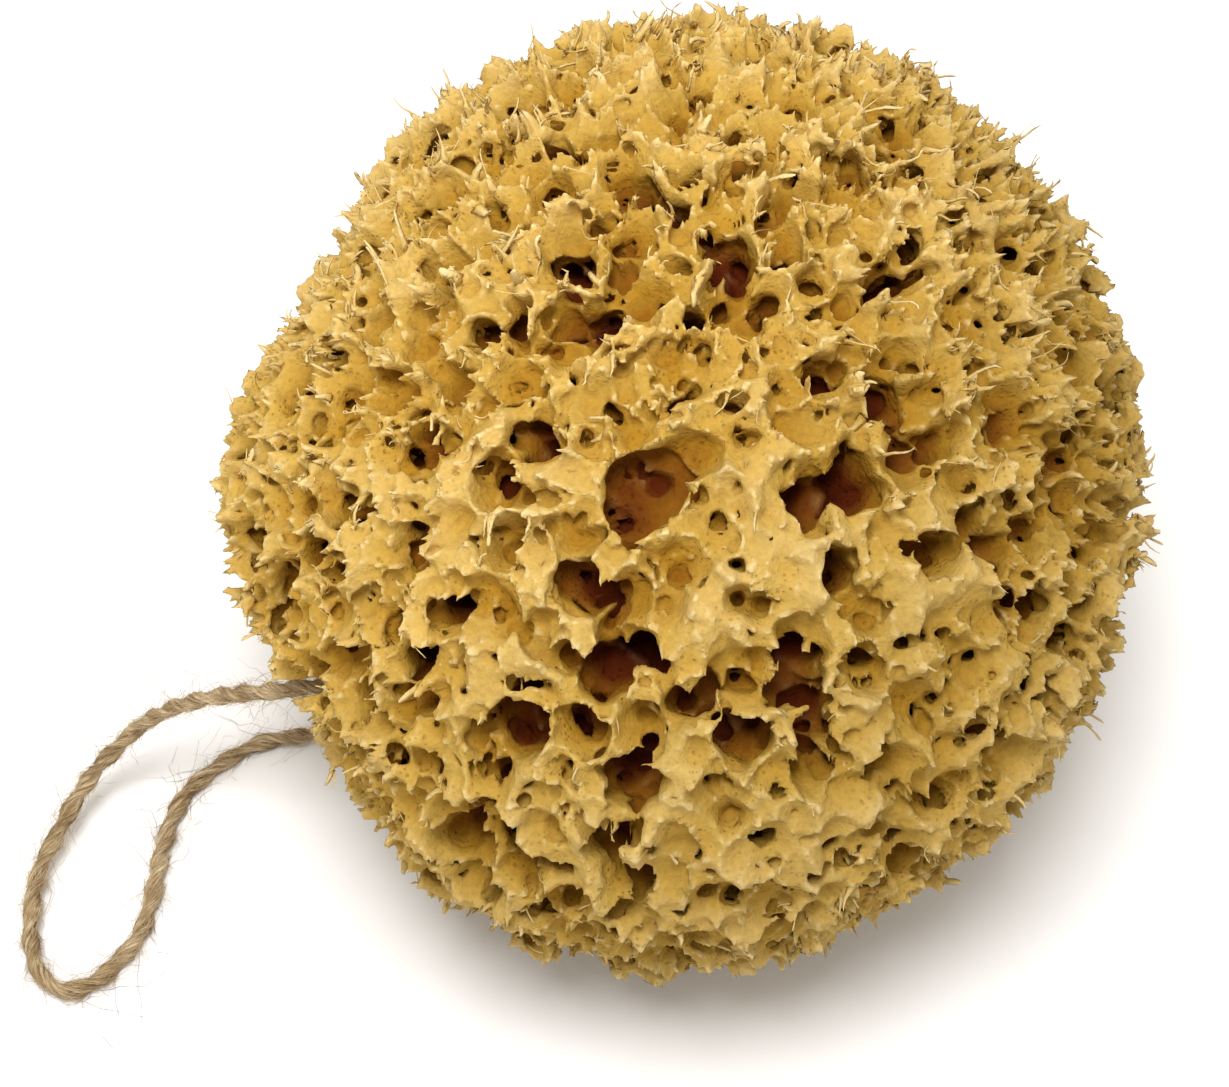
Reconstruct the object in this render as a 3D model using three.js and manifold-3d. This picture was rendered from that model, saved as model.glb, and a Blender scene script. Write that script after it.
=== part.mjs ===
// A natural honeycomb bath sponge with a hanging loop of jute twine.
// Millimetres, +Z up, -Y towards the viewer. The sponge stands on the flat cut at its root,
// with its origin under the middle of its outline, and the loop lies out to its left.

import * as THREE from 'three';
import { mergeVertices } from 'three/addons/utils/BufferGeometryUtils.js';
import Module from 'manifold-3d';

// ---- driving dimensions -------------------------------------------------------------

// The sponge grew as a rounded lump, a little deeper than it is wide and squat in height.
const HALF_WIDTH = 71.5;
const HALF_DEPTH = 78.5;
const HALF_HEIGHT = 63.5;
const BODY_MIDDLE = new THREE.Vector3(1.2, -1.1, 60);
const BODY_DETAIL = 7;

// Where the lump swells or sinks: [compass angle, angle of climb, millimetres, sharpness].
// The compass angle is 0 towards -Y and 90 towards +X.
const SWELLINGS = [
  [-90, 0, 4, 9],
  [155, 38, 5, 2],
  [-22, -40, 4, 6],
  [-112, 20, -5, 18],
  [-62, -18, -4, 16],
];

// Large exhalant openings: [compass angle, angle of climb, width, depth].
const OSCULES = [
  [-21, 19, 13, 24],
  [-7, 15, 12, 24],
  [-12, 27, 11, 20],
  [-17, 36, 11, 20],
  [5, 21, 11, 18],
  [12, 27, 11, 20],
  [9, 36, 6, 16],
  [21, 37, 9, 18],
  [36, 35, 10, 20],
  [45, 28, 9, 18],
  [58, 31, 8, 18],
  [68, 29, 8, 18],
  [28, 46, 12, 18],
  [42, 54, 11, 22],
  [49, 44, 8, 18],
  [-10, 48, 14, 14],
  [-34, 50, 9, 14],
  [-43, 32, 9, 18],
  [-36, 21, 9, 18],
  [-53, 40, 8, 18],
  [-35, 68, 9, 18],
  [-56, 61, 7, 16],
  [30, 80, 10, 18],
  [112, 52, 10, 18],
  [-20, 2, 10, 16],
];

// Smaller openings that fill the rest of the surface, spaced by the golden angle.
const SMALL_OPENINGS = 64;
const SMALL_WIDTHS = [8, 10, 7, 9];
const SMALL_DEPTH = 14;
const CLEAR_BETWEEN = 3;
const LOWEST_OPENING = 14;

// The wider openings have rounder walls.
const WIDE_OPENING = 11;

// Hanging loop of jute twine.
const TWINE_WIDTH = 2.5;
const TWINE_SIDES = 8;
const TWINE_STEPS = 40;
const CANAL_WIDTH = 4;
const EXIT_WIDTH = 11;
const EXIT_DEPTH = 8;

// The twine's middle line. It comes out of a hole on the lower left, arches down to the
// surface that the sponge stands on, turns back there and goes in under the overhang.
const TWINE_ROUTE = [
  [-41, -28, 46],
  [-49, -28, 45],
  [-57.5, -27, 42],
  [-65.5, -25, 38],
  [-74.5, -21, 31.5],
  [-82.5, -18, 24.5],
  [-89, -17, 18],
  [-94, -18.5, 13],
  [-97.5, -20.5, 9.5],
  [-100.5, -24.5, 7],
  [-103, -29.5, 5],
  [-105, -34, 3.8],
  [-106, -39.5, 3],
  [-106, -45.5, 2.5],
  [-105, -51, 2.3],
  [-103, -55.5, 2.1],
  [-99.5, -58, 1.9],
  [-95.5, -57, 1.7],
  [-91.5, -53, 1.5],
  [-88.5, -48, 1.4],
  [-87, -42, 1.4],
  [-86.5, -36.5, 1.4],
  [-86, -30.5, 1.4],
  [-85, -24.5, 1.4],
  [-83, -19, 1.4],
  [-80, -15, 1.4],
  [-76, -11.5, 1.4],
  [-71.5, -8.5, 1.5],
  [-65.5, -7.5, 2.2],
  [-59, -8, 4.5],
  [-52, -9, 9],
  [-46, -10.5, 15],
  [-42, -12, 22],
  [-40, -14, 29],
];
const FIRST_OUTSIDE = 2;
const LAST_OUTSIDE = 30;

// ---- materials ------------------------------------------------------------------------

const spongeMaterial = new THREE.MeshStandardMaterial({
  color: 0xd6b267,
  roughness: 0.95,
  metalness: 0,
});
const juteMaterial = new THREE.MeshStandardMaterial({
  color: 0x9c7f5b,
  roughness: 0.9,
  metalness: 0,
});

// ---- solids -----------------------------------------------------------------------------

const wasm = await Module();
wasm.setup();

function toSolid(geometry) {
  const bare = geometry.clone();
  bare.deleteAttribute('normal');
  bare.deleteAttribute('uv');
  const welded = mergeVertices(bare, 1e-4);
  return new wasm.Manifold(new wasm.Mesh({
    numProp: 3,
    vertProperties: new Float32Array(welded.attributes.position.array),
    triVerts: new Uint32Array(welded.index.array),
  }));
}

function toGeometry(solid) {
  const mesh = solid.getMesh();
  const geometry = new THREE.BufferGeometry();
  geometry.setAttribute('position', new THREE.BufferAttribute(mesh.vertProperties, 3));
  geometry.setIndex(new THREE.BufferAttribute(mesh.triVerts, 1));
  geometry.computeVertexNormals();
  return geometry;
}

// ---- the sponge ---------------------------------------------------------------------------

function direction(compass, climb) {
  const across = THREE.MathUtils.degToRad(compass);
  const up = THREE.MathUtils.degToRad(climb);
  return new THREE.Vector3(
    Math.sin(across) * Math.cos(up),
    -Math.cos(across) * Math.cos(up),
    Math.sin(up),
  );
}

const swellings = SWELLINGS.map(([compass, climb, rise, sharpness]) => (
  { way: direction(compass, climb), rise, sharpness }
));

// Distance from the middle of the body to its outside, along a unit vector.
function reach(way) {
  const ellipsoid = 1 / Math.hypot(way.x / HALF_WIDTH, way.y / HALF_DEPTH, way.z / HALF_HEIGHT);
  return swellings.reduce(
    (sum, lobe) => sum + lobe.rise * Math.max(0, way.dot(lobe.way)) ** lobe.sharpness,
    ellipsoid,
  );
}

// The place on the skin that lies along a unit vector from the middle of the body.
function skinAt(way) {
  return way.clone().multiplyScalar(reach(way)).add(BODY_MIDDLE);
}

function bodyGeometry() {
  const geometry = new THREE.IcosahedronGeometry(1, BODY_DETAIL);
  const places = geometry.attributes.position;
  for (let i = 0; i < places.count; i += 1) {
    const place = skinAt(new THREE.Vector3().fromBufferAttribute(places, i).normalize());
    places.setXYZ(i, place.x, place.y, place.z);
  }
  return geometry;
}

// A hole with a rounded floor: an ellipsoid whose middle sits on the skin, along its way in.
function openingGeometry({ way, width, depth }) {
  const geometry = new THREE.IcosahedronGeometry(1, width > WIDE_OPENING ? 2 : 1);
  geometry.scale(width / 2, width / 2, depth);
  geometry.applyQuaternion(
    new THREE.Quaternion().setFromUnitVectors(new THREE.Vector3(0, 0, 1), way),
  );
  geometry.translate(...skinAt(way));
  return geometry;
}

function smallOpenings(taken) {
  const turn = Math.PI * (3 - Math.sqrt(5));
  const found = [];
  for (let i = 0; i < SMALL_OPENINGS; i += 1) {
    const z = 1 - (2 * (i + 0.5)) / SMALL_OPENINGS;
    const ring = Math.sqrt(1 - z * z);
    const way = new THREE.Vector3(Math.cos(i * turn) * ring, Math.sin(i * turn) * ring, z);
    const width = SMALL_WIDTHS[i % SMALL_WIDTHS.length];
    const skin = skinAt(way);
    const clear = [...taken, ...found].every((other) => (
      skinAt(other.way).distanceTo(skin) > (other.width + width) / 2 + CLEAR_BETWEEN
    ));
    if (clear && skin.z > LOWEST_OPENING) {
      found.push({ way, width, depth: SMALL_DEPTH });
    }
  }
  return found;
}

function routePoints() {
  return TWINE_ROUTE.map(([x, y, z]) => new THREE.Vector3(x, y, z));
}

// A tube of regular polygon section along a smooth curve through the points.
function tubeGeometry(points, width, sides, steps) {
  const section = new THREE.Shape();
  for (let i = 0; i < sides; i += 1) {
    const angle = (2 * Math.PI * i) / sides;
    const x = (width / 2) * Math.cos(angle);
    const y = (width / 2) * Math.sin(angle);
    if (i === 0) {
      section.moveTo(x, y);
    } else {
      section.lineTo(x, y);
    }
  }
  section.closePath();
  return new THREE.ExtrudeGeometry(section, {
    steps,
    extrudePath: new THREE.CatmullRomCurve3(points, false, 'centripetal'),
    bevelEnabled: false,
  });
}

// The narrow way that the twine takes into the sponge, a little longer than the twine.
function canal(inwards) {
  const last = inwards[inwards.length - 1];
  const before = inwards[inwards.length - 2];
  const beyond = last.clone().sub(before).setLength(2).add(last);
  return toSolid(tubeGeometry([...inwards, beyond], CANAL_WIDTH, TWINE_SIDES, 8));
}

function buildSponge() {
  const route = routePoints();
  const oscules = OSCULES.map(([compass, climb, width, depth]) => (
    { way: direction(compass, climb), width, depth }
  ));
  const twineExit = {
    way: route[FIRST_OUTSIDE].clone().sub(BODY_MIDDLE).normalize(),
    width: EXIT_WIDTH,
    depth: EXIT_DEPTH,
  };
  const chosen = [...oscules, twineExit];

  let solid = toSolid(bodyGeometry());
  for (const hole of [...chosen, ...smallOpenings(chosen)]) {
    solid = solid.subtract(toSolid(openingGeometry(hole)));
  }

  solid = solid.subtract(canal(route.slice(0, FIRST_OUTSIDE + 3).reverse()));
  solid = solid.subtract(canal(route.slice(LAST_OUTSIDE - 2)));

  // The flat cut where the sponge was taken off its rock.
  const below = new THREE.BoxGeometry(4 * HALF_WIDTH, 4 * HALF_DEPTH, BODY_MIDDLE.z);
  below.translate(0, 0, -BODY_MIDDLE.z / 2);
  solid = solid.subtract(toSolid(below));

  return toGeometry(solid);
}

// ---- the object -----------------------------------------------------------------------------

const sponge = new THREE.Mesh(buildSponge(), spongeMaterial);
sponge.name = 'sponge';

const hangingLoop = new THREE.Mesh(
  tubeGeometry(routePoints(), TWINE_WIDTH, TWINE_SIDES, TWINE_STEPS),
  juteMaterial,
);
hangingLoop.name = 'hanging_loop';

const object = new THREE.Group();
object.add(sponge, hangingLoop);

export default object;
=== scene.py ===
"""A natural honeycomb bath sponge, standing on its cut root, with its jute hanging loop.

Metres, +Z up. Sizes of the sponge and its twine are written in millimetres and scaled by MM.
"""

import math

import bpy
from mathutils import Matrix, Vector, noise


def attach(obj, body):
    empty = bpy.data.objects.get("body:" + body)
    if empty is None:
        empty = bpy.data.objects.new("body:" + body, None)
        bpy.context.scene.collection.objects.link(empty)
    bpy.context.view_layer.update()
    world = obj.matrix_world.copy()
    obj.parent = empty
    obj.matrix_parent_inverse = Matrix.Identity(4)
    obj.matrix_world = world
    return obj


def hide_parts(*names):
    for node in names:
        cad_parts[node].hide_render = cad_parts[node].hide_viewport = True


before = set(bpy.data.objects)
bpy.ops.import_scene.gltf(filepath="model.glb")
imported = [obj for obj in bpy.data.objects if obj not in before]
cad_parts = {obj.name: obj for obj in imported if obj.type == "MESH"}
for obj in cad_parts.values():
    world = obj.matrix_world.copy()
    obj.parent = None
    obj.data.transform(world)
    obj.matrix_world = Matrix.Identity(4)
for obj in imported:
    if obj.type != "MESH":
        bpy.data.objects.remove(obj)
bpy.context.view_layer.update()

MM = 0.001


# ---- The view ---------------------------------------------------------------------------
# A camera at about arm's length, looking down on the front of the sponge at 50 degrees.

CAMERA_PLACE = Vector((-10.3, -321.5, 428.2)) * MM
CAMERA_AIM = Vector((-10.3, -7.9, 54.3)) * MM

camera_data = bpy.data.cameras.new("view")
camera_data.lens = 90
camera_data.sensor_width = 36
camera_data.clip_start = 0.01
camera_data.clip_end = 20
camera = bpy.data.objects.new("view", camera_data)
camera.location = CAMERA_PLACE
camera.rotation_euler = (CAMERA_AIM - CAMERA_PLACE).to_track_quat("-Z", "Y").to_euler()
bpy.context.collection.objects.link(camera)
bpy.context.scene.camera = camera


# ---- The hanging loop ---------------------------------------------------------------------
# Two-ply jute twine. It comes out of a hole in the sponge's lower left, arches down to the
# surface, turns back and goes in under the overhang, where it is tied out of sight.

PLIES = 2
PLY_RADIUS = 0.92
PLY_FROM_MIDDLE = 0.5
TWIST_LENGTH = 12.0
PLY_SIDES = 28
TWINE_STEP = 0.34

# How uneven it is: the sway of its twist in radians, its taper, how thick and thin its plies
# are, how far they move off the middle, and how much the strands and threads of a ply stand out
TWIST_SWAY = 0.9
TAPER = 0.12
THICK_AND_THIN = 0.2
PLY_SWAY = 0.35
STRANDS = 0.2
THREADS = 0.2

# The pattern of its fibres is this much longer than it is wide
FIBRE_STRETCH = 14

TWINE_ROUTE = [
    (-41, -28, 46), (-49, -28, 45), (-57.5, -27, 42), (-65.5, -25, 38), (-74.5, -21, 31.5),
    (-82.5, -18, 24.5), (-89, -17, 18), (-94, -18.5, 13), (-97.5, -20.5, 9.5),
    (-100.5, -24.5, 7), (-103, -29.5, 5), (-105, -34, 3.8), (-106, -39.5, 3),
    (-106, -45.5, 2.5), (-105, -51, 2.3), (-103, -55.5, 2.1), (-99.5, -58, 1.9),
    (-95.5, -57, 1.7), (-91.5, -53, 1.5), (-88.5, -48, 1.4), (-87, -42, 1.4),
    (-86.5, -36.5, 1.4), (-86, -30.5, 1.4), (-85, -24.5, 1.4), (-83, -19, 1.4),
    (-80, -15, 1.4), (-76, -11.5, 1.4), (-71.5, -8.5, 1.5), (-65.5, -7.5, 2.2),
    (-59, -8, 4.5), (-52, -9, 9), (-46, -10.5, 15), (-42, -12, 22), (-40, -14, 29),
]
FIRST_OUTSIDE = 2
LAST_OUTSIDE = 30


def smooth_line(points, step):
    """Points about a step apart on the centripetal Catmull-Rom curve through the given ones."""
    knots = [Vector(p) for p in points]
    knots = [2 * knots[0] - knots[1]] + knots + [2 * knots[-1] - knots[-2]]
    line = []
    for a, b, c, d in zip(knots, knots[1:], knots[2:], knots[3:]):
        t1 = (b - a).length ** 0.5
        t2 = t1 + (c - b).length ** 0.5
        t3 = t2 + (d - c).length ** 0.5
        pieces = max(1, round((c - b).length / step))
        for i in range(pieces):
            t = t1 + (t2 - t1) * i / pieces
            ab = a.lerp(b, t / t1)
            bc = b.lerp(c, (t - t1) / (t2 - t1))
            cd = c.lerp(d, (t - t2) / (t3 - t2))
            abc = ab.lerp(bc, t / t2)
            bcd = bc.lerp(cd, (t - t1) / (t3 - t1))
            line.append(abc.lerp(bcd, (t - t1) / (t2 - t1)))
    line.append(knots[-2])
    return line


def frames_along(line):
    """A tangent and two crossways vectors at each point, turning as little as they can."""
    across = Vector((0, 0, 1))
    found = []
    for i, point in enumerate(line):
        tangent = (line[min(i + 1, len(line) - 1)] - line[max(i - 1, 0)]).normalized()
        across = (across - tangent * across.dot(tangent)).normalized()
        found.append((tangent, across, tangent.cross(across)))
    return found


def mesh_piece(name, vertices, faces):
    mesh = bpy.data.meshes.new(name)
    mesh.from_pydata([tuple(v) for v in vertices], [], faces)
    mesh.validate()
    mesh.update()
    mesh.shade_smooth()
    piece = bpy.data.objects.new(name, mesh)
    bpy.context.collection.objects.link(piece)
    return piece


def ring_faces(rings, sides, first=0):
    """Faces of a tube whose rings start at vertex first, with its two end rings closed."""
    faces = []
    for ring in range(rings - 1):
        low = first + ring * sides
        for k in range(sides):
            after = (k + 1) % sides
            faces.append((low + k, low + after, low + sides + after, low + sides + k))
    faces.append(tuple(first + k for k in reversed(range(sides))))
    faces.append(tuple(first + (rings - 1) * sides + k for k in range(sides)))
    return faces


def set_vectors(mesh, name, vectors):
    """Keeps one vector for each vertex, for a pattern or a tree to read."""
    kept = mesh.attributes.new(name, "FLOAT_VECTOR", "POINT")
    kept.data.foreach_set("vector", [c for v in vectors for c in v])


def sway(run, size, row, ply=0):
    """Smooth noise along the twine, with features of that many millimetres."""
    return noise.noise((run / size, row, ply))


def grain_round(x, y, fineness, along):
    """Smooth noise round a ply and along it."""
    return noise.noise((fineness * x, fineness * y, along))


twine_line = smooth_line(TWINE_ROUTE, TWINE_STEP)
twine_frames = frames_along(twine_line)
twine_run = [0.0]
for a, b in zip(twine_line, twine_line[1:]):
    twine_run.append(twine_run[-1] + (b - a).length)

ply_vertices, ply_faces, fibre_places, fibre_ways = [], [], [], []
for ply in range(PLIES):
    ply_faces += ring_faces(len(twine_line), PLY_SIDES, len(ply_vertices))
    for point, (tangent, across, up), run in zip(twine_line, twine_frames, twine_run):
        turn = 2 * math.pi * (run / TWIST_LENGTH + ply / PLIES)
        turn += TWIST_SWAY * sway(run, 11, 3.7)
        out = across * math.cos(turn) + up * math.sin(turn)
        side = up * math.cos(turn) - across * math.sin(turn)
        swell = 1.0 - TAPER * run / twine_run[-1] + THICK_AND_THIN * sway(run, 4.5, 9.1, 5 * ply)
        middle = point + out * PLY_FROM_MIDDLE * (1 + PLY_SWAY * sway(run, 5, 1.3, ply))
        lean = side * (2 * math.pi * PLY_FROM_MIDDLE / TWIST_LENGTH)
        for k in range(PLY_SIDES):
            angle = 2 * math.pi * k / PLY_SIDES
            x, y = math.cos(angle), math.sin(angle)
            strands = STRANDS * grain_round(x, y, 2.6, run / 6 + 20 * ply)
            threads = THREADS * grain_round(x, y, 7, run / 5 + 40 * ply)
            radius = PLY_RADIUS * (swell + strands + threads)
            place = middle + (out * x + side * y) * radius
            place.z = max(place.z, 0)
            ply_vertices.append(place * MM)
            fibre_places.append((x * radius, y * radius, run / FIBRE_STRETCH + 7 * ply))
            fibre_ways.append((tangent + lean).normalized())
twine = mesh_piece("jute_twine", ply_vertices, ply_faces)
set_vectors(twine.data, "fibre_place", fibre_places)
set_vectors(twine.data, "fibre_way", fibre_ways)


class Value:
    """A socket. An operator on it adds the Math node that works the sum out."""

    def __init__(self, board, socket):
        self.board = board
        self.socket = socket

    def sum(self, operation, *others):
        return self.board.maths(operation, self, *others)

    def __add__(self, other):
        return self.sum("ADD", other)

    def __sub__(self, other):
        return self.sum("SUBTRACT", other)

    def __rsub__(self, other):
        return self.board.maths("SUBTRACT", other, self)

    def __mul__(self, other):
        return self.sum("MULTIPLY", other)

    def __truediv__(self, other):
        return self.sum("DIVIDE", other)

    def __rtruediv__(self, other):
        return self.board.maths("DIVIDE", other, self)

    def __pow__(self, other):
        return self.sum("POWER", other)

    def __neg__(self):
        return self.sum("MULTIPLY", -1.0)

    __radd__ = __add__
    __rmul__ = __mul__

    def least(self, other):
        return self.sum("MINIMUM", other)

    def most(self, other):
        return self.sum("MAXIMUM", other)

    def rise(self, low, high):
        """0 at low and 1 at high, with soft ends."""
        values = {"Value": self, "From Min": low, "From Max": high}
        return self.board.add(
            "ShaderNodeMapRange", {"interpolation_type": "SMOOTHSTEP"}, values
        )["Result"]


class Board:
    """A node tree that nodes are added to."""

    def __init__(self, tree):
        self.tree = tree

    def put(self, value, socket):
        if isinstance(value, Value):
            self.tree.links.new(value.socket, socket)
        else:
            socket.default_value = value

    def add(self, kind, settings=None, values=None):
        """A new node's outputs, by name or by number."""
        node = self.tree.nodes.new(kind)
        for name, setting in (settings or {}).items():
            if name == "stops":
                while len(node.color_ramp.elements) < len(setting):
                    node.color_ramp.elements.new(0.5)
                for stop, (place, colour) in zip(node.color_ramp.elements, setting):
                    stop.position = place
                    stop.color = (*colour, 1)
            else:
                setattr(node, name, setting)
        for name, value in (values or {}).items():
            self.put(value, node.inputs[name])
        made = {i: Value(self, s) for i, s in enumerate(node.outputs)}
        made.update({s.name: Value(self, s) for s in node.outputs if s.enabled})
        return made

    def maths(self, operation, *values):
        return self.add("ShaderNodeMath", {"operation": operation}, dict(enumerate(values)))[0]

    def vector(self, operation, *values, scale=None):
        given = dict(enumerate(values))
        if scale is not None:
            given["Scale"] = scale
        made = self.add("ShaderNodeVectorMath", {"operation": operation}, given)
        return made["Value"] if "Value" in made else made["Vector"]

    def uneven(self, place, size, detail=2.0):
        """Noise from about -0.5 to 0.5 with features of that size."""
        return self.add("ShaderNodeTexNoise", {}, {
            "Vector": place, "Scale": 1 / size, "Detail": detail, "Roughness": 0.55,
        })["Fac"] - 0.5

    def uneven_way(self, place, size, detail=1.0, middle=(0.5, 0.5, 0.5)):
        """A vector of three such noises, about -0.5 to 0.5 each."""
        values = {"Vector": place, "Scale": 1 / size, "Detail": detail}
        return self.vector("SUBTRACT", self.add("ShaderNodeTexNoise", {}, values)["Color"], middle)

    def parts(self, vector):
        return self.add("ShaderNodeSeparateXYZ", {}, {"Vector": vector})

    def joined(self, x, y, z):
        return self.add("ShaderNodeCombineXYZ", {}, {"X": x, "Y": y, "Z": z})["Vector"]

    def ramp(self, value, stops):
        return self.add("ShaderNodeValToRGB", {"stops": stops}, {"Fac": value})["Color"]

    def bump(self, height, distance, strength):
        values = {"Strength": strength, "Distance": distance, "Height": height}
        return self.add("ShaderNodeBump", {}, values)["Normal"]


def material(name, draw, **constants):
    """A finish. draw adds its nodes and returns the links for the shader's sockets."""
    made = bpy.data.materials.new(name)
    made.use_nodes = True
    made.node_tree.nodes.clear()
    board = Board(made.node_tree)
    values = draw(board)
    values.update(constants)
    shader = board.add("ShaderNodeBsdfPrincipled", {}, values)["BSDF"]
    board.add("ShaderNodeOutputMaterial", {}, {"Surface": shader})
    return made


def draw_jute(board):
    place = board.add("ShaderNodeAttribute", {"attribute_name": "fibre_place"})["Vector"]
    fibres = board.uneven(place, 0.22, 3.0)
    bundles = board.uneven(place, 0.8, 2.0)
    patches = board.uneven(board.add("ShaderNodeTexCoord")["Object"], 0.006, 2.0)
    colour = board.ramp(0.5 + fibres * 1.2 + bundles * 0.9 + patches * 0.4, [
        (0.14, (0.055, 0.025, 0.007)),
        (0.36, (0.24, 0.145, 0.055)),
        (0.56, (0.46, 0.33, 0.175)),
        (0.84, (0.82, 0.68, 0.46)),
    ])
    return {"Base Color": colour, "Normal": board.bump(fibres + bundles, 0.0004, 0.9)}


jute_finish = material("jute", draw_jute, Roughness=0.85)
twine.data.materials.append(jute_finish)


def plain_mesh(piece):
    """The mesh that the piece's modifiers leave."""
    return bpy.data.meshes.new_from_object(
        piece.evaluated_get(bpy.context.evaluated_depsgraph_get())
    )


SOCKET_KINDS = {
    int: "NodeSocketInt",
    float: "NodeSocketFloat",
    bpy.types.Object: "NodeSocketObject",
    bpy.types.Material: "NodeSocketMaterial",
}


class Growth(Board):
    """A Geometry Nodes tree that makes meshes. Its inputs are named and start at these sizes."""

    def __init__(self, name, **sizes):
        super().__init__(bpy.data.node_groups.new(name, "GeometryNodeTree"))
        self.sizes = {}
        face = self.tree.interface
        face.new_socket("Geometry", in_out="INPUT", socket_type="NodeSocketGeometry")
        for size, value in sizes.items():
            kind = SOCKET_KINDS[type(value)]
            socket = face.new_socket(size, in_out="INPUT", socket_type=kind)
            self.sizes[size] = socket.identifier, value
        face.new_socket("Geometry", in_out="OUTPUT", socket_type="NodeSocketGeometry")
        self.given = self.add("NodeGroupInput")

    def ends_in(self, result):
        realized = self.add("GeometryNodeRealizeInstances", {}, {"Geometry": result})["Geometry"]
        finished = self.add("GeometryNodeSetMaterial", {}, {
            "Geometry": realized, "Material": self.given["finish"],
        })["Geometry"]
        self.put(finished, self.tree.nodes.new("NodeGroupOutput").inputs["Geometry"])

    def piece(self, name, start=None, **changed):
        """A piece with the plain mesh that the tree makes, from nothing or from a given mesh."""
        holder = bpy.data.objects.new(name, start or bpy.data.meshes.new(name))
        bpy.context.collection.objects.link(holder)
        modifier = holder.modifiers.new(name, "NODES")
        modifier.node_group = self.tree
        for size, (identifier, value) in self.sizes.items():
            modifier[identifier] = changed.get(size, value)
        made = plain_mesh(holder)
        bpy.data.objects.remove(holder)
        piece = bpy.data.objects.new(name, made)
        bpy.context.collection.objects.link(piece)
        return piece

    def named(self, name, kind):
        return self.add("GeometryNodeInputNamedAttribute", {"data_type": kind}, {"Name": name})[0]

    def chance(self, low, high, seed):
        """A random number, or vector where low and high are vectors, for each point."""
        if isinstance(low, tuple):
            return self.add("FunctionNodeRandomValue", {"data_type": "FLOAT_VECTOR"}, {
                0: low, 1: high, "Seed": seed,
            })[0]
        return self.add("FunctionNodeRandomValue", {"data_type": "FLOAT"}, {
            2: low, 3: high, "Seed": seed,
        })[1]

    def turned(self, axis, towards, start=None, pivot="AUTO"):
        values = {"Vector": towards}
        if start is not None:
            values["Rotation"] = start
        return self.add(
            "FunctionNodeAlignRotationToVector", {"axis": axis, "pivot_axis": pivot}, values
        )["Rotation"]

    def planted(self, points, shape, rotation, scale, bend, bend_size):
        """A copy of the shape on each point, each bent its own way more and more to its tip."""
        copies = self.add("GeometryNodeInstanceOnPoints", {}, {
            "Points": points,
            "Instance": self.add("GeometryNodeObjectInfo", {}, {"Object": shape})["Geometry"],
            "Rotation": rotation,
            "Scale": scale,
        })["Instances"]
        real = self.add("GeometryNodeRealizeInstances", {}, {"Geometry": copies})["Geometry"]
        place = self.add("GeometryNodeInputPosition")["Position"]
        along = self.named("along", "FLOAT")
        offset = self.vector("SCALE", self.uneven_way(place, bend_size), scale=along * along * bend)
        moved = self.parts(self.vector("ADD", place, offset))
        above = self.joined(moved["X"], moved["Y"], moved["Z"].most(LOWEST_TIP))
        return self.add("GeometryNodeSetPosition", {}, {
            "Geometry": real, "Position": above,
        })["Geometry"]


# No tip reaches into the surface that the sponge stands on
LOWEST_TIP = 0.0001

# One loose hair, a unit long, which thins towards its tip
HAIR_SIDES = 3
HAIR_ROWS = 7
HAIR_RADIUS = 0.045
HAIR_TAPER = 0.8
hair_points, hair_along = [], []
for row in range(HAIR_ROWS):
    along = row / (HAIR_ROWS - 1)
    radius = HAIR_RADIUS * (1 - HAIR_TAPER * along)
    for k in range(HAIR_SIDES):
        angle = 2 * math.pi * k / HAIR_SIDES
        x, y = radius * math.cos(angle), radius * math.sin(angle)
        hair_points.append((x * MM, y * MM, along * MM))
        hair_along.append(along)
hair = mesh_piece("hair", hair_points, ring_faces(HAIR_ROWS, HAIR_SIDES))
hair.data.attributes.new("along", "FLOAT", "POINT").data.foreach_set("value", hair_along)


def draw_hair(board):
    patches = board.uneven(board.add("ShaderNodeTexCoord")["Object"], 0.003, 2.0)
    colour = board.ramp(0.5 + patches, [
        (0.25, (0.22, 0.13, 0.05)), (0.5, (0.52, 0.385, 0.215)), (0.75, (0.82, 0.69, 0.48)),
    ])
    return {"Base Color": colour}


hair_finish = material("jute_hair", draw_hair, Roughness=0.8)


# Hairs on the twine, from the shortest to the longest millimetres, most of them short. Bends in
# them come this far apart, in metres.
HAIR_BEND_SIZE = 0.0035
MOSTLY_SHORT = 3.0
growth = Growth(
    "loose_hairs", hair=hair, per_mm2=1.4, shortest=0.8, longest=3.6, lift=0.35, stray=0.3,
    bend=2.6, seed=11, finish=hair_finish,
)
given = growth.given
spread = growth.add("GeometryNodeDistributePointsOnFaces", {}, {
    "Mesh": given["Geometry"], "Density": given["per_mm2"] / MM ** 2, "Seed": given["seed"],
})
away = growth.vector("SCALE", spread["Normal"], scale=given["lift"])
stray = growth.vector("SCALE", growth.chance((-1.0,) * 3, (1.0,) * 3, 12), scale=given["stray"])
away = growth.vector("ADD", away, stray)
towards = growth.vector(
    "SCALE", growth.named("fibre_way", "FLOAT_VECTOR"), scale=growth.chance(-1.0, 1.0, 13).sum("SIGN")
)
length = given["longest"] - given["shortest"]
length = given["shortest"] + length * growth.chance(0.0, 1.0, 14) ** MOSTLY_SHORT
growth.ends_in(growth.planted(
    spread["Points"], given["hair"],
    growth.turned("Z", growth.vector("ADD", towards, away)),
    growth.joined(1.0, 1.0, length),
    given["bend"] * MM, HAIR_BEND_SIZE,
))
short_hairs = growth.piece("twine_fuzz", twine.data)
fibres = growth.piece(
    "twine_fibres", twine.data,
    per_mm2=1.1, shortest=2.0, longest=6.0, lift=0.12, bend=0.7, stray=0.08, seed=37,
)
long_hairs = growth.piece(
    "twine_loose_hairs", twine.data,
    per_mm2=0.17, shortest=3.5, longest=14.0, lift=0.6, bend=12.0, seed=23,
)
bpy.data.objects.remove(hair)

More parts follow.
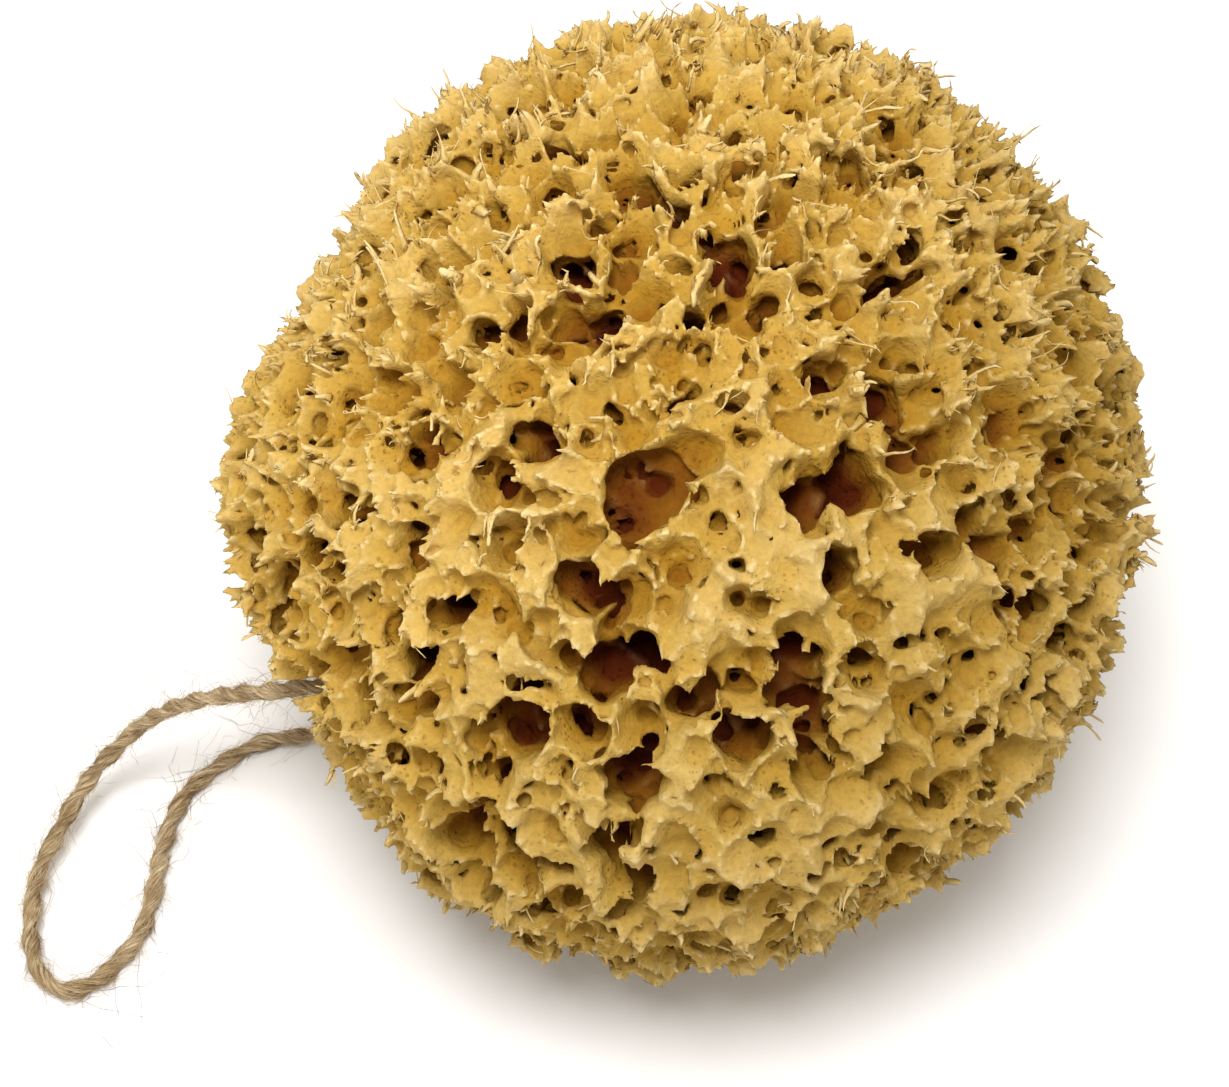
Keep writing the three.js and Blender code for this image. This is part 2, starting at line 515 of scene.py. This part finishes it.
for piece in (twine, fibres, short_hairs, long_hairs):
    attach(piece, "root")
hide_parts("hanging_loop")
[v * MM for v in twine_line]


# ---- The sponge ---------------------------------------------------------------------------
# One grown skeleton of springy fibre, cut flat where it was taken off its rock. Openings of
# all sizes run into it, and what is left between them ends in thin torn rims.

BODY_MIDDLE = (1.2, -1.1, 60)
BODY_HALF_SIZES = (71.5, 78.5, 63.5)

# Where the lump swells or sinks: compass angle (0 towards -Y, 90 towards +X), angle of climb,
# millimetres, sharpness.
SWELLINGS = [
    (-90, 0, 4, 9),
    (155, 38, 5, 2),
    (-22, -40, 4, 6),
    (-112, 20, -5, 18),
    (-62, -18, -4, 16),
]


def direction(compass, climb):
    across, up = math.radians(compass), math.radians(climb)
    return (
        math.sin(across) * math.cos(up),
        -math.cos(across) * math.cos(up),
        math.sin(up),
    )


def body_depth(board, place):
    """Millimetres under the lump's smooth outside, the way out and its reach, at a place."""
    from_middle = board.vector(
        "SUBTRACT", board.vector("SCALE", place, scale=1 / MM), BODY_MIDDLE
    )
    distance = board.vector("LENGTH", from_middle)
    way = board.vector("NORMALIZE", from_middle)
    reach = 1.0 / board.vector("LENGTH", board.vector("DIVIDE", way, BODY_HALF_SIZES))
    for compass, climb, rise, sharpness in SWELLINGS:
        towards = board.vector("DOT_PRODUCT", way, direction(compass, climb))
        reach = reach + rise * towards.most(0.0) ** sharpness
    return reach - distance, way, reach


def crown_share(board, way):
    """0 on the sides, rising to 1 on the crown."""
    return board.parts(way)["Z"].rise(0.15, 0.8)


def worn_share(board, way):
    """Rising to 1 on the front, which is worn smoother than the rest."""
    return board.vector("DOT_PRODUCT", way, direction(5, 28)).rise(0.7, 0.97)


def cells(board, place, apart, shift=0.0):
    """Millimetres to the nearest of points scattered that far apart, and its own two chances."""
    moved = board.vector("ADD", place, (shift, 1.3 * shift, -shift))
    made = board.add(
        "ShaderNodeTexVoronoi", {"feature": "F1"}, {"Vector": moved, "Scale": 1 / apart}
    )
    chance = board.parts(made["Color"])
    return made["Distance"] * apart, chance["X"], chance["Y"]


def wandering(board, place, size, amount, shift=0.0):
    """Places moved about by a smooth noise with features of that size."""
    moved = board.vector("ADD", place, (shift, shift, shift))
    wander = board.uneven_way(moved, size, 2.0)
    return board.vector("ADD", place, board.vector("SCALE", wander, scale=amount))


# Straw on the rims, then ochre, and dark red in the openings are the fibre's own colours; the
# darkening on to black deepest in the openings is painted shade. The colours are spread over this
# many millimetres, from the tallest peaks inwards
COLOUR_DEPTH = 30.0
TALLEST_PEAK = 4.5
DEPTH_COLOURS_AND_SHADE = [
    (0.0, (0.65, 0.475, 0.20)),
    (0.12, (0.57, 0.385, 0.12)),
    (0.22, (0.48, 0.30, 0.06)),
    (0.34, (0.36, 0.19, 0.018)),
    (0.43, (0.22, 0.082, 0.006)),
    (0.53, (0.09, 0.015, 0.002)),
    (0.68, (0.035, 0.003, 0.001)),
    (1.0, (0.012, 0.002, 0.001)),
]
# Painted highlight: thin sharp rims are painted paler, standing in for light shining through and
# along them
PAINTED_RIM_HIGHLIGHT = (0.78, 0.62, 0.31, 1)
RIM_HIGHLIGHT_SHARE = 0.75

# Blotches, fine grain and pores: their sizes and how much each changes the shade. Blotches and grain
# are the fibre's own tone, and the darkening in the pores is painted shade
BLOTCH_SIZE, BLOTCH_SHADE, BLOTCH_DEPTH = 7.0, 0.35, 4.5
GRAIN_SIZE, GRAIN_SHADE = 0.9, 0.5
PORES_APART, PAINTED_PORE_SHADE = 0.95, 0.26

# Painted light and shade: the upper left and back of the sponge are painted paler, the lower right
# and front darker
PAINTED_LIT_SIDE = (-0.6, 0.3, 0.75)
SHADED_SIDE_LEVEL, LIT_SIDE_GAIN = 0.78, 0.3


def draw_sponge(board):
    place = board.add("ShaderNodeTexCoord")["Object"]
    depth, way, _ = body_depth(board, place)
    in_mm = board.vector("SCALE", place, scale=1 / MM)
    blotch = board.uneven(in_mm, BLOTCH_SIZE, 3.0)
    grain = board.uneven(in_mm, GRAIN_SIZE, 3.0)
    # Colour by depth: the fibre's own straw, ochre and red, with painted shade darkening the deep
    # openings to black
    seen_depth = depth + TALLEST_PEAK + blotch * BLOTCH_DEPTH
    colour = board.ramp(seen_depth / COLOUR_DEPTH, DEPTH_COLOURS_AND_SHADE)
    # The sharp rims get the painted pale highlight
    rim = board.add("ShaderNodeAttribute", {"attribute_name": "rim"})["Fac"].least(1.0)
    colour = board.add("ShaderNodeMix", {"data_type": "RGBA"}, {
        "Factor": rim * RIM_HIGHLIGHT_SHARE, 6: colour, 7: PAINTED_RIM_HIGHLIGHT,
    })[2]
    # Pores: small dents, darkened with painted shade
    pores, chance, _ = cells(board, in_mm, PORES_APART)
    pitted = (1.0 - (pores - chance * 0.2).rise(0.0, 0.2)) * blotch.rise(-0.1, 0.15)
    pitted = pitted * (1.0 - rim)
    # Painted light: paler towards the upper left, darker towards the lower right and front
    painted_light = board.vector("DOT_PRODUCT", way, PAINTED_LIT_SIDE).rise(-0.5, 0.8)
    shade = 1.0 + grain * GRAIN_SHADE + blotch * BLOTCH_SHADE - pitted * PAINTED_PORE_SHADE
    shade = (SHADED_SIDE_LEVEL + LIT_SIDE_GAIN * painted_light) * shade
    return {
        "Base Color": board.vector("SCALE", colour, scale=shade),
        "Normal": board.bump(grain * 2.0 - pitted, 0.0003, 0.6),
    }


sponge_finish = material(
    "sponge_fibre", draw_sponge, Roughness=0.85, **{"Specular IOR Level": 0.06}
)

# Each belt is grown in a box from low to high, of these half sizes at its widest. squeeze makes
# openings go in towards the middle, splay widens their mouths and bulge their insides, peaks
# stand out of the skin, and sharp edges are torn into points, which lean.
VOXEL = 0.55
HALF_WIDTH = 80.0
HALF_DEPTH = 86.0
growth = Growth(
    "sponge_growth", voxel=VOXEL, low=0.0, high=130.0, half_width=HALF_WIDTH, half_depth=HALF_DEPTH,
    squeeze=0.55, splay=0.1, bulge=0.45, peaks=5.0, crown_peaks=6.0, least_island=60.0,
    torn=2.6, lean=1.2, finish=sponge_finish,
)
given = growth.given
position = growth.add("GeometryNodeInputPosition")["Position"]
in_mm = growth.vector("SCALE", position, scale=1 / MM)
height = growth.parts(in_mm)["Z"]
depth, way, reach = body_depth(growth, position)
crown = crown_share(growth, way)
worn = worn_share(growth, way)

# Openings keep going inwards, so the places they are drawn at are squeezed with depth
at_skin = growth.vector("SCALE", way, scale=reach - depth * given["squeeze"])
on_skin = growth.vector("SCALE", way, scale=reach)

# Scattered bowls and the channels that go in from them: spacing, shift of the pattern, bowls
# (reach as a share of the spacing, least and most depth, how much the wear takes away),
# channels (least and most radius, depth at which they close, from CLOSING of it on).
PATTERNS = [
    (16, 120, None, (0.5, 4.0, 28)),
    (8.2, 0, (0.64, 3.5, 10.0, 0.25), (-0.8, 3.2, 18)),
    (5.2, 40, (0.64, 2.4, 8.0, 0.5), (-0.4, 2.2, 12)),
    (3.2, 80, (0.64, 1.0, 4.2, 0.75), (-0.6, 1.0, 7)),
]
BOWL_CURVE = 2.6
CLOSING = 0.6

# Channels are this much narrower on the crown and on the worn front
CHANNELS_LOST = 0.5

# The skin stands this far out of the smooth lump, and further where no bowl is near
PROUD = 0.2
NO_BOWL = 0.6
NO_OPENING = 9.0

# sunk is how deep the bowls reach at a place, and open_to how far it lies inside an opening,
# or below zero, how far outside them all. Openings widen inside, by their bulge.
sunk = 0.0 * depth - NO_BOWL
open_to = 0.0 * depth - NO_OPENING
bulge = 1.0 + given["bulge"] * depth.rise(2.0, 9.0)
at_pattern = wandering(growth, at_skin, 12, 7.0)
at_pattern = wandering(growth, at_pattern, 4, 2.4, 50.0)
for apart, shift, bowls, (least_wide, most_wide, closed_at) in PATTERNS:
    near, chance, other_chance = cells(growth, at_pattern, apart, shift)
    if bowls:
        share, least, most, lost = bowls
        bowl = (least + chance * (most - least)) * (1.0 - (near / (share * apart)) ** BOWL_CURVE)
        sunk = sunk.most(bowl * (1.0 - lost * worn))
    narrowing = 1.0 - depth.rise(closed_at * CLOSING, closed_at)
    radius = (least_wide + other_chance * (most_wide - least_wide)) * narrowing * bulge
    open_to = open_to.most(radius - near - CHANNELS_LOST * (crown + worn))

# The outside has slow swells, and peaks that stand higher on the crown
SWELL_SIZE, SWELL_HEIGHT = 22, 5.0
PEAK_SIZE = 4.5
peaks = growth.uneven(on_skin, PEAK_SIZE).most(0.0)
peaks = peaks * (given["peaks"] + given["crown_peaks"] * crown)
solid = depth + growth.uneven(at_skin, SWELL_SIZE) * SWELL_HEIGHT + peaks + PROUD - sunk

# The large openings, each where it is on this sponge: compass angle, climb, width, depth
OSCULES = [
    (-21, 19, 10.5, 30), (-7, 15, 9.5, 30), (-12, 27, 9, 26), (-17, 36, 8, 26),
    (5, 21, 9, 24), (12, 27, 9, 24), (9, 36, 5, 20), (21, 37, 7, 22),
    (36, 35, 8, 26), (45, 28, 7, 24), (58, 31, 6.5, 22), (68, 29, 6.5, 22),
    (28, 46, 9, 22), (42, 54, 9, 28), (49, 44, 6.5, 22), (-10, 48, 12, 13),
    (-34, 50, 7, 18), (-43, 32, 7, 22), (-36, 21, 7, 24), (-53, 40, 6.5, 22),
    (-35, 68, 7, 22), (-56, 61, 6, 20), (30, 80, 8, 22), (112, 52, 8, 22),
    (-20, 2, 8, 18), (-10, 6, 7, 18), (-12, 34, 6.5, 24), (14, 19, 6.5, 20),
    (-110, 82, 7, 20), (33, 59, 6.5, 20), (-66, -16, 11, 10),
]
at_oscule = wandering(growth, at_skin, 7, 6.0, 90.0)
at_oscule = wandering(growth, at_oscule, 3, 2.6, 70.0)
for compass, climb, width, deep in OSCULES:
    towards = Vector(direction(compass, climb))
    skin_reach = 1 / Vector(c / h for c, h in zip(towards, BODY_HALF_SIZES)).length
    away = growth.vector("DISTANCE", at_oscule, tuple(towards * skin_reach))
    narrowing = 1.0 - depth.rise(deep * CLOSING, deep)
    open_to = open_to.most(width / 2 * narrowing * bulge - away)

# The walls of the openings are pitted in turn, from 2.5 mm to 11.5 mm under the outside, and no
# pit goes further into a wall than PIT_DEPTH
PITS_APART = 4.6
LEAST_PIT, PIT_CHANCE, PIT_DEPTH = 1.1, 1.5, 2.2
PITS_MIDDLE, PITS_HALF_RANGE = 7.0, 4.5
to_pit, chance, _ = cells(growth, wandering(growth, in_mm, 5, 3.0), PITS_APART)
out_of_range = ((depth - PITS_MIDDLE).sum("ABSOLUTE") - PITS_HALF_RANGE).most(0.0)
pit = LEAST_PIT + chance * PIT_CHANCE - to_pit - out_of_range * 0.8
open_to = open_to.most(pit.least(open_to + PIT_DEPTH))

# Openings splay a little towards the outside
SPLAY_DEPTH = 1.5
solid = solid.least((depth - SPLAY_DEPTH).least(0.0) * given["splay"] - open_to)

# The ways that the twine's two ends take through the sponge. Where the upper end comes out,
# a narrow cut runs up from it, towards the front, and the twine lies open in its bottom.
CANAL_RADIUS = 1.9
CUT_RADIUS = 1.35
CUT_WAY = Vector((0.1, -0.6, 0.79)).normalized()
CANALS = [
    (TWINE_ROUTE[: FIRST_OUTSIDE + 1], CANAL_RADIUS, False),
    (TWINE_ROUTE[LAST_OUTSIDE - 2 :], CANAL_RADIUS, False),
    (TWINE_ROUTE[FIRST_OUTSIDE : FIRST_OUTSIDE + 3], CUT_RADIUS, True),
]
for line, radius, is_cut in CANALS:
    for a, b in zip(line, line[1:]):
        stretch = Vector(b) - Vector(a)
        from_a = growth.vector("SUBTRACT", in_mm, a)

        # The cut keeps its width all the way up, so it is measured across its way
        across = stretch - CUT_WAY * stretch.dot(CUT_WAY) if is_cut else stretch
        share = growth.vector("DOT_PRODUCT", from_a, tuple(across / across.length_squared))
        share = share.most(0.0).least(1.0)
        off = growth.vector("SUBTRACT", from_a, growth.vector("SCALE", tuple(stretch), scale=share))
        if is_cut:
            above = growth.vector("DOT_PRODUCT", off, tuple(CUT_WAY)).most(0.0)
            above = growth.vector("SCALE", tuple(CUT_WAY), scale=above)
            off = growth.vector("SUBTRACT", off, above)
        solid = solid.least(growth.vector("LENGTH", off) - radius)

# The flat cut below, and the wavy cuts between belts. Belts run into each other, and each
# draws in a little near its cuts, so that no seam shows.
BELT_OVERLAP = 1.5
BELT_WAVES = 6.0
WAVE_SIZE = 15
wave = growth.uneven(on_skin, WAVE_SIZE) * BELT_WAVES
to_cut = height + wave - given["low"] + BELT_OVERLAP
to_cut = to_cut.least(given["high"] - height - wave + BELT_OVERLAP)
solid = (solid - (0.9 - to_cut).most(0.0) * 0.5).least(to_cut)
solid = solid.least(height)

wide, deep = given["half_width"] * MM, given["half_depth"] * MM
low = (given["low"] - BELT_WAVES / 2 - BELT_OVERLAP - 1.0).most(-1.0)
high = given["high"] + BELT_WAVES / 2 + BELT_OVERLAP + 1.0
volume = growth.add("GeometryNodeVolumeCube", {}, {
    "Density": solid,
    "Background": -10.0,
    "Min": growth.joined(-wide, -deep, low * MM),
    "Max": growth.joined(wide, deep, high * MM),
    "Resolution X": given["half_width"] * 2.0 / given["voxel"],
    "Resolution Y": given["half_depth"] * 2.0 / given["voxel"],
    "Resolution Z": (high - low) / given["voxel"],
})["Volume"]
skin = growth.add("GeometryNodeVolumeToMesh", {}, {"Volume": volume, "Threshold": 0.0})["Mesh"]

# Crumbs that hang in the air are left out
island = growth.add("GeometryNodeInputMeshIsland")["Island Index"]
corners = growth.add(
    "GeometryNodeAccumulateField", {"data_type": "FLOAT"}, {"Value": 1.0, "Group ID": island}
)["Total"]
skin = growth.add("GeometryNodeDeleteGeometry", {"domain": "POINT"}, {
    "Geometry": skin,
    "Selection": (corners * given["voxel"] ** 2.0).sum("LESS_THAN", given["least_island"]),
})["Geometry"]

# Sharp edges are torn: they are thinned and drawn out into points, long ones and short ones
# between them, which lean the same way as their neighbours
LONG_POINT, SHORT_POINT = 3.2, 1.5
LEAN_SIZE = 6
EDGE_THINNED = 0.22
normal = growth.add("GeometryNodeInputNormal")["Normal"]
blurred = growth.add("GeometryNodeBlurAttribute", {"data_type": "FLOAT_VECTOR"}, {
    "Value": in_mm, "Iterations": 3,
})["Value"]
sharp = growth.vector("DOT_PRODUCT", growth.vector("SUBTRACT", in_mm, blurred), normal)
sharp = sharp / given["voxel"]
off_ground = height.rise(2.0, 6.0)
off_cuts = to_cut.rise(0.6, 1.5)
points = (growth.uneven(in_mm, LONG_POINT) + 0.2).most(0.0) * 2.2
points = points + (growth.uneven(in_mm, SHORT_POINT) - 0.03).most(0.0) * 3.0
drawn = points * given["torn"] * sharp.rise(0.15, 0.7) * (0.8 + 0.5 * crown - 0.3 * worn)
drawn = drawn * off_cuts * off_ground * (1.0 - depth.rise(2.0, 7.0))
lean = growth.uneven_way(in_mm, LEAN_SIZE, middle=(0.5, 0.5, 0.65))
lean = growth.vector("SCALE", lean, scale=drawn * drawn * given["lean"])
pull = growth.vector("SCALE", way, scale=drawn)
thinned = growth.vector("SCALE", normal, scale=sharp.rise(0.1, 0.6) * off_ground * -EDGE_THINNED)
pull = growth.vector("ADD", pull, thinned)
skin = growth.add("GeometryNodeSetPosition", {}, {
    "Geometry": skin,
    "Offset": growth.vector("SCALE", growth.vector("ADD", pull, lean), scale=MM),
})["Geometry"]
# Sharp edges are stored as rims: the finish paints a pale highlight on them, and tufts stand on them
skin = growth.add("GeometryNodeStoreNamedAttribute", {}, {
    "Geometry": skin, "Name": "rim", "Value": sharp.rise(0.15, 0.65) * off_cuts,
})["Geometry"]
growth.ends_in(growth.add("GeometryNodeStoreNamedAttribute", {}, {
    "Geometry": skin, "Name": "inner", "Value": depth.rise(9.0, 9.5),
})["Geometry"])

# One lump in eight belts, counted from the ground, so that each has fine enough faces. The box
# of each just holds it, with room for its peaks.
BELT_CUTS = [-10, 17, 33, 49, 65, 80, 95, 110, 130]
BELT_TRIANGLES = 182000
INNER_KEPT = 0.15
PEAK_ROOM = 8
sponge_belts = []
for low, high in zip(BELT_CUTS, BELT_CUTS[1:]):
    nearest = min(max(BODY_MIDDLE[2], low), high) - BODY_MIDDLE[2]
    share = math.sqrt(1 - (nearest / (BODY_HALF_SIZES[2] + PEAK_ROOM)) ** 2)
    belt = growth.piece(
        f"sponge_belt_{len(sponge_belts) + 1}",
        low=float(low), high=float(high),
        half_width=HALF_WIDTH * share, half_depth=HALF_DEPTH * share,
    )
    triangles = len(belt.data.loops) - 2 * len(belt.data.polygons)

    # The faces deep in the openings are thinned first, then all of them
    inner = [0.0] * len(belt.data.vertices)
    belt.data.attributes["inner"].data.foreach_get("value", inner)
    inner = [i for i, value in enumerate(inner) if value > 0.5]
    belt.vertex_groups.new(name="inner_walls").add(inner, 1.0, "REPLACE")
    thin_inside = belt.modifiers.new("thin_inside", "DECIMATE")
    thin_inside.vertex_group = "inner_walls"
    thin_inside.ratio = 1 - (1 - INNER_KEPT) * len(inner) / len(belt.data.vertices)
    thin = belt.modifiers.new("thin", "DECIMATE")
    thin.ratio = min(1, BELT_TRIANGLES / (triangles * thin_inside.ratio))
    belt.data = plain_mesh(belt)
    belt.modifiers.clear()
    belt.vertex_groups.clear()
    belt.data.attributes.remove(belt.data.attributes["inner"])
    for corner in belt.data.vertices:
        corner.co.z = max(corner.co.z, 0)
    belt.data.shade_smooth()
    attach(belt, "root")
    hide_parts("sponge")
    sponge_belts.append(belt)


# ---- The tufts ----------------------------------------------------------------------------
# Torn shreds of the same fibre, that stand on the sharp rims between the openings. They are
# part of the one growth, and longest on the crown, which wears least.

BLADE_ROWS = [(0.0, 1.5), (0.22, 1.0), (0.45, 0.78), (0.7, 0.62), (0.9, 0.45), (1.0, 0.2)]
BLADE_THICKNESS = 0.3

# One blade, a unit long and wide, flat and pointed
blade_points, blade_along = [], []
for along, width in BLADE_ROWS:
    for x, y in ((-0.5, 0.0), (0.0, -0.5), (0.5, 0.0), (0.0, 0.5)):
        blade_points.append((x * width * MM, y * BLADE_THICKNESS * width * MM, along * MM))
        blade_along.append(along)
blade = mesh_piece("blade", blade_points, ring_faces(len(BLADE_ROWS), 4))
blade.data.attributes.new("along", "FLOAT", "POINT").data.foreach_set("value", blade_along)

# Tufts stand in clumps, and neighbours are combed the same way, like grass. Their bends come
# this far apart, in metres.
CLUMP_SIZE = 9.0
COMBED_SIZE = 14
COMBED = 3.5
TUFT_BEND_SIZE = 0.005
growth = Growth(
    "tufts", blade=blade, per_mm2=1.1, shortest=1.0, longest=2.6, crown_longest=5.0, width=0.9,
    bend=9.0, sink=0.5, seed=31, finish=sponge_finish,
)
given = growth.given
position = growth.add("GeometryNodeInputPosition")["Position"]
in_mm = growth.vector("SCALE", position, scale=1 / MM)
depth, way, _ = body_depth(growth, position)
ridge = (1.0 - depth.rise(0.0, 4.5)) * (1.0 - 0.7 * worn_share(growth, way))
ridge = ridge * growth.parts(in_mm)["Z"].rise(2.0, 6.0) * growth.named("rim", "FLOAT").rise(0.3, 0.9)
spread = growth.add("GeometryNodeDistributePointsOnFaces", {}, {
    "Mesh": given["Geometry"],
    "Density": given["per_mm2"] / MM ** 2 * ridge * growth.uneven(in_mm, CLUMP_SIZE).rise(-0.2, 0.15),
    "Seed": given["seed"],
})
normal = spread["Normal"]
combed = growth.vector("SCALE", growth.uneven_way(in_mm, COMBED_SIZE), scale=COMBED)
outward = growth.vector("SCALE", growth.vector("ADD", way, normal), scale=0.3)
outward = growth.vector("ADD", outward, combed)
outward = growth.vector("ADD", outward, growth.chance((-0.5,) * 3, (0.5,) * 3, 32))
rotation = growth.turned("Z", outward)
rotation = growth.turned("X", growth.vector("CROSS_PRODUCT", normal, way), rotation, "Z")
longest = given["longest"] + (given["crown_longest"] - given["longest"]) * crown_share(growth, way)
length = longest - given["shortest"]
length = given["shortest"] + length * growth.chance(0.0, 1.0, 33) ** 1.7
wide = given["width"] * (0.6 + 1.6 * growth.chance(0.0, 1.0, 34) ** 3.0)
rooted = growth.add("GeometryNodeSetPosition", {}, {
    "Geometry": spread["Points"],
    "Offset": growth.vector("SCALE", way, scale=given["sink"] * -MM),
})["Geometry"]
blades = growth.planted(
    rooted, given["blade"], rotation,
    growth.joined(wide, wide, length),
    given["bend"] * MM, TUFT_BEND_SIZE,
)
# The blades' tips are stored as rims, so the finish paints them with the pale rim highlight
growth.ends_in(growth.add("GeometryNodeStoreNamedAttribute", {}, {
    "Geometry": blades, "Name": "rim", "Value": growth.named("along", "FLOAT"),
})["Geometry"])

for number, belt in enumerate(sponge_belts, 1):
    tufts = growth.piece(f"tufts_{number}", belt.data, seed=30 + number)
    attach(tufts, "root")
bpy.data.objects.remove(blade)


# ---- The room -----------------------------------------------------------------------------
# A plain white table under one soft lamp, above and a little in front, in a pale room.

floor = mesh_piece("floor", [(-3, -3, 0), (3, -3, 0), (3, 3, 0), (-3, 3, 0)], [(0, 1, 2, 3)])
floor.data.materials.append(
    material("white_table", lambda board: {"Base Color": (0.9, 0.9, 0.9, 1)}, Roughness=0.7)
)


def soft_light(name, place, aim, size, power):
    data = bpy.data.lights.new(name, "AREA")
    data.shape = "DISK"
    data.size = size
    data.energy = power
    lamp = bpy.data.objects.new(name, data)
    lamp.location = place
    lamp.rotation_euler = (Vector(aim) - Vector(place)).to_track_quat("-Z", "Y").to_euler()
    bpy.context.collection.objects.link(lamp)


soft_light("key", (-0.1, -0.38, 1.15), (0, 0, 0.05), 0.5, 12.3)

world = bpy.data.worlds.new("studio")
world.use_nodes = True
world.node_tree.nodes["Background"].inputs["Color"].default_value = (1, 0.96, 0.9, 1)
world.node_tree.nodes["Background"].inputs["Strength"].default_value = 0.73
bpy.context.scene.world = world
bpy.context.scene.view_settings.view_transform = "Standard"
